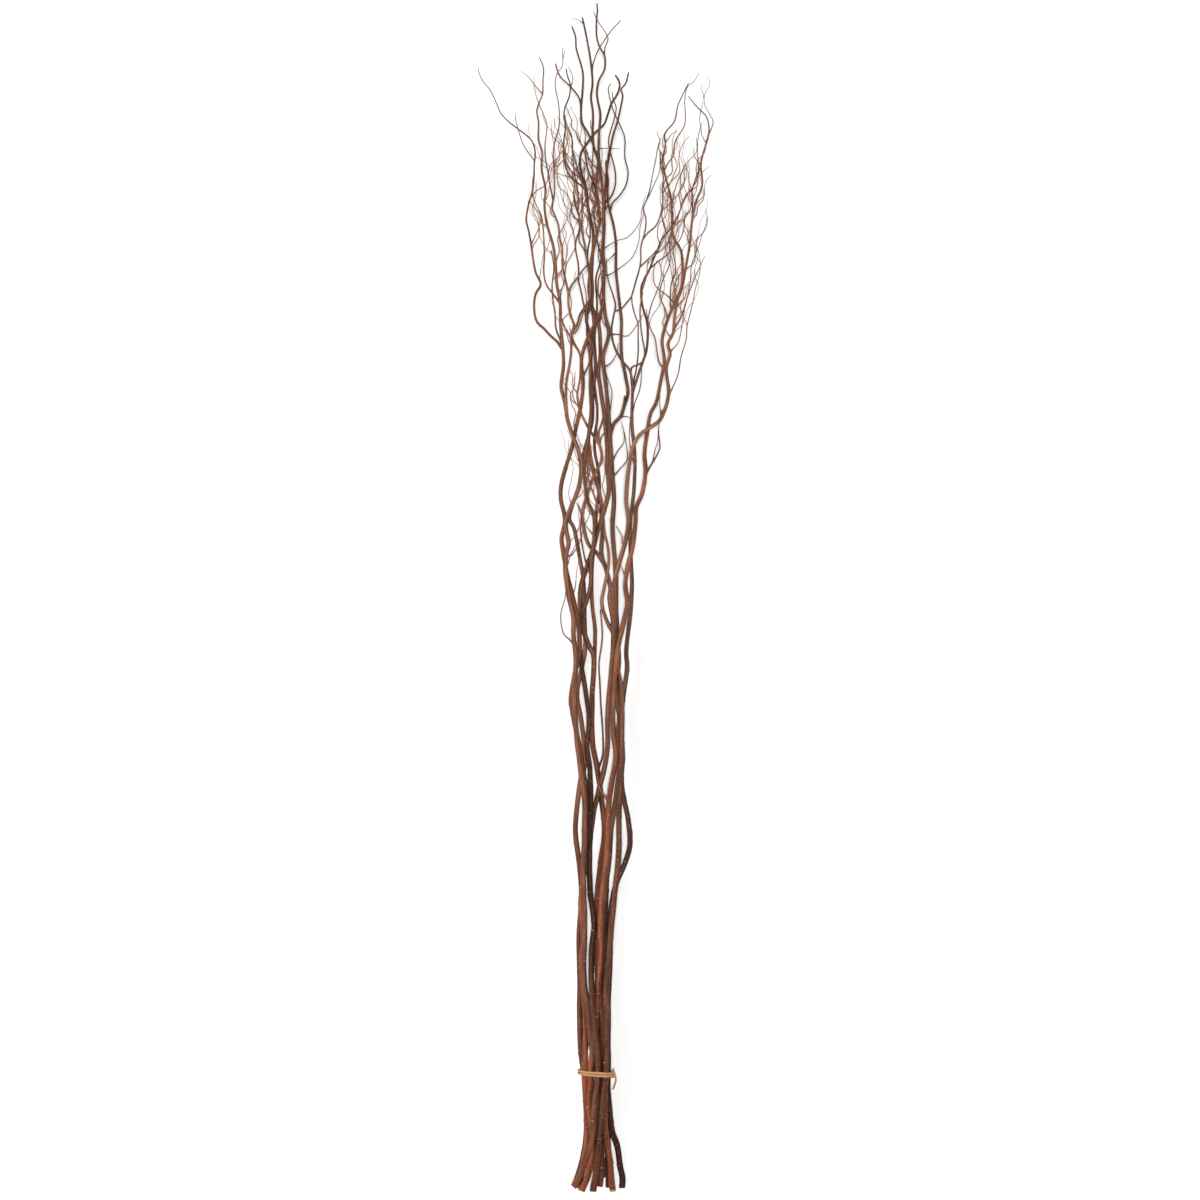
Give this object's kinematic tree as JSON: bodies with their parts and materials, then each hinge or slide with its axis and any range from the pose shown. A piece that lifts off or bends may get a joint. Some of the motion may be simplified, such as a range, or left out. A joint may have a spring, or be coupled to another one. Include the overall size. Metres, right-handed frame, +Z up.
{
  "type": "bundle of curly willow branches",
  "caption": "Tied bundle of tall dried curly willow branches with wavy brown stems and fine twigs, lying on a flat surface.",
  "frame": {"origin": "on the surface that the bundle lies on, below the middle of its bounding box", "axes": "+Z up from the surface, +Y along the bundle from the cut ends to the tips, +X to the right when the bundle is seen from above with its tips away"},
  "size_m": [0.3544, 1.7814, 0.1094],
  "materials": {
    "bark_grey_brown": "satin",
    "bark_red_brown": "satin",
    "bark_orange_brown": "satin",
    "bark_dark_brown": "satin",
    "bark_purple_brown": "satin",
    "bark_dark_red": "satin",
    "twine": "matte"
  },
  "bodies": {
    "root": {"branch_01": "bark_grey_brown", "branch_02": "bark_red_brown", "branch_03": "bark_orange_brown", "branch_04": "bark_grey_brown", "branch_05": "bark_dark_brown", "branch_06": "bark_grey_brown", "branch_07": "bark_purple_brown", "branch_08": "bark_dark_brown", "branch_09": "bark_dark_red", "branch_10": "bark_grey_brown", "twine_tie": "twine"}
  },
  "joints": []
}
